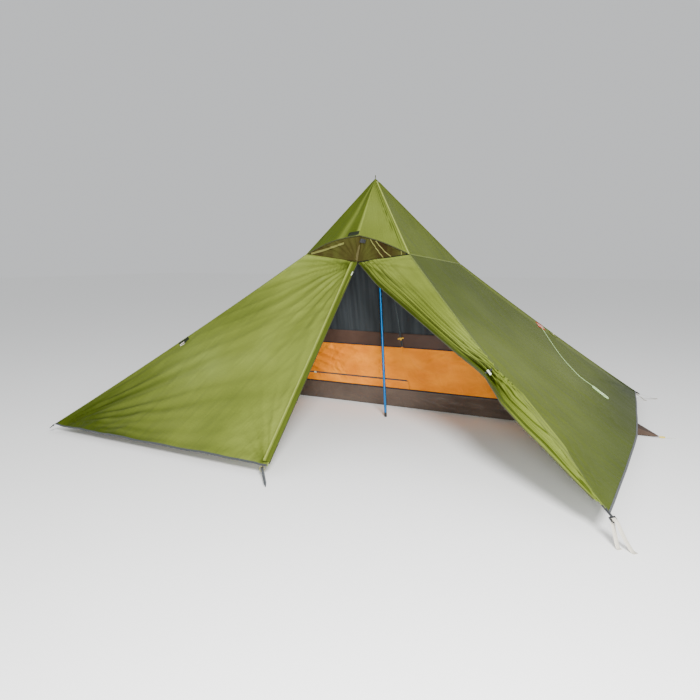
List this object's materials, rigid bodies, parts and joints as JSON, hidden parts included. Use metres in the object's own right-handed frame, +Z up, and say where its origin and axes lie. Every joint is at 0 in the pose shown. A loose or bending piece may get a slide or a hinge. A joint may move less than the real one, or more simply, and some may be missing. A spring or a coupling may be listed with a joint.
{
  "type": "tent",
  "caption": "Single-pole pyramid tent with an open door, hooded vent and a half inner tent with a bathtub floor.",
  "frame": {"origin": "on the ground at the middle of the tent's footprint, plumb below the peak", "axes": "+X to the right of someone facing the door, +Y to the back, +Z up"},
  "size_m": [3.6767, 2.9064, 1.6171],
  "materials": {
    "fly_nylon": "coated ripstop nylon, satin, olive green",
    "binding": "woven grey tape",
    "buckle": "black moulded plastic",
    "zip": "coil zip on dark tape",
    "pull_cord": "pale braided cord",
    "tube": "blue anodised tube",
    "floor": "coated taffeta, dark brown, slight sheen",
    "ripstop_orange": "orange ripstop",
    "mosquito_mesh": "fine charcoal mesh",
    "webbing": "off-white flat webbing",
    "black_webbing": "black flat webbing",
    "yellow_webbing": "yellow webbing and pull tabs",
    "peg_metal": "bare aluminium",
    "patch": "red reinforcement patch",
    "guy_cord": "pale green braided cord"
  },
  "bodies": {
    "tent": {"apex_cup": "buckle", "apex_loop": "binding", "bathtub_floor": "floor", "brim_binding": "binding", "corner_anchor_back_left": "black_webbing", "corner_anchor_back_right": "black_webbing", "corner_anchor_front_left": "black_webbing", "corner_anchor_front_right": "black_webbing", "corner_gusset_left": "floor", "corner_gusset_right": "floor", "fly_back_panel": "fly_nylon", "fly_cap": "fly_nylon", "fly_door_panel": "fly_nylon", "fly_left_panel": "fly_nylon", "fly_right_panel": "fly_nylon", "fly_zip_chain": "zip", "front_peg_loop": "yellow_webbing", "guy_patch_left": "binding", "guy_patch_right": "patch", "guyline": "guy_cord", "guyline_hank": "guy_cord", "hem_binding_back": "binding", "hem_binding_front": "binding", "hem_binding_left": "binding", "hem_binding_right": "binding", "inner_front_mesh": "mosquito_mesh", "inner_front_orange": "ripstop_orange", "inner_top_strap": "binding", "inner_wall_left": "mosquito_mesh", "inner_wall_right_back": "mosquito_mesh", "inner_zip_chain": "zip", "pole_foot": "buckle", "pole_section_1": "tube", "pole_section_2": "tube", "pole_section_3": "tube", "pole_section_4": "tube", "pole_shock_cord": "pull_cord", "pole_tip": "buckle", "storm_flap": "fly_nylon", "tie_out_cord": "pull_cord", "tie_out_toggle_left": "yellow_webbing", "tie_out_toggle_right": "yellow_webbing", "vent_screen": "mosquito_mesh"},
    "zip_slider": {"fly_zip_slider": "buckle"},
    "zip_pull": {"fly_zip_pull": "pull_cord"},
    "door_flap": {"fly_door_flap": "fly_nylon", "door_toggle": "pull_cord"},
    "vent_brace_body": {"vent_brace": "fly_nylon"},
    "inner_door": {"inner_door_orange": "ripstop_orange", "inner_door_mesh": "mosquito_mesh"},
    "inner_slider_a": {"inner_slider_upright": "yellow_webbing"},
    "inner_slider_b": {"inner_slider_sill": "pull_cord"},
    "lock_front_left": {"ladder_lock_front_left": "buckle"},
    "lock_front_right": {"ladder_lock_front_right": "buckle", "peg_strap_front_right": "webbing"},
    "lock_back_right": {"ladder_lock_back_right": "buckle", "peg_strap_back_right": "webbing"},
    "lock_back_left": {"ladder_lock_back_left": "buckle", "peg_strap_back_left": "webbing"},
    "peg": {"ground_peg_front": "peg_metal"}
  },
  "joints": [
    {"name": "fly_zip_slide", "type": "slide", "parent": "tent", "child": "zip_slider", "axis": [0.0285, -0.7334, -0.6792], "range_m": [-0.055, 1.32]},
    {"name": "fly_zip_pull_hinge", "type": "hinge", "parent": "zip_slider", "child": "zip_pull", "pos_m": [-0.00605, -0.31527, 0.99628], "axis": [-0.9986, 0.0097, -0.0524], "range_deg": [0, 100]},
    {"name": "door_flap_hinge", "type": "hinge", "parent": "tent", "child": "door_flap", "pos_m": [0.358, -0.29, 1.089], "axis": [0.6595, -0.5334, -0.5297], "range_deg": [0, 22]},
    {"name": "vent_brace_hinge", "type": "hinge", "parent": "tent", "child": "vent_brace_body", "pos_m": [-0.02, -0.242, 1.052], "axis": [-1, 0, 0], "range_deg": [0, 65]},
    {"name": "inner_door_hinge", "type": "hinge", "parent": "tent", "child": "inner_door", "pos_m": [-1.3, 0.2585, 0.21], "axis": [0.7665, -0.126, 0.6298], "range_deg": [0, 32]},
    {"name": "inner_upright_zip_slide", "type": "slide", "parent": "tent", "child": "inner_slider_a", "axis": [-0.1024, -0.1951, 0.9754], "range_m": [-0.27, 0.7]},
    {"name": "inner_sill_zip_slide", "type": "slide", "parent": "tent", "child": "inner_slider_b", "axis": [1, 0, 0], "range_m": [-0.6, 0.68]},
    {"name": "lock_hinge_front_left", "type": "hinge", "parent": "tent", "child": "lock_front_left", "pos_m": [-1.60591, -1.2994, 0.04765], "axis": [-0.6289, 0.7775, 0], "range_deg": [0, 35]},
    {"name": "lock_hinge_front_right", "type": "hinge", "parent": "tent", "child": "lock_front_right", "pos_m": [1.60604, -1.2995, 0.10291], "axis": [-0.6289, -0.7775, 0], "range_deg": [0, 35]},
    {"name": "lock_hinge_back_right", "type": "hinge", "parent": "tent", "child": "lock_back_right", "pos_m": [1.60587, 1.31544, 0.06363], "axis": [0.6337, -0.7736, 0], "range_deg": [0, 35]},
    {"name": "lock_hinge_back_left", "type": "hinge", "parent": "tent", "child": "lock_back_left", "pos_m": [-1.60587, 1.31544, 0.06363], "axis": [0.6337, 0.7736, 0], "range_deg": [0, 35]},
    {"name": "peg_swing", "type": "hinge", "parent": "tent", "child": "peg", "pos_m": [0, -1.328, 0.0383], "axis": [0, 0, 1], "range_deg": [-9, 9]}
  ]
}
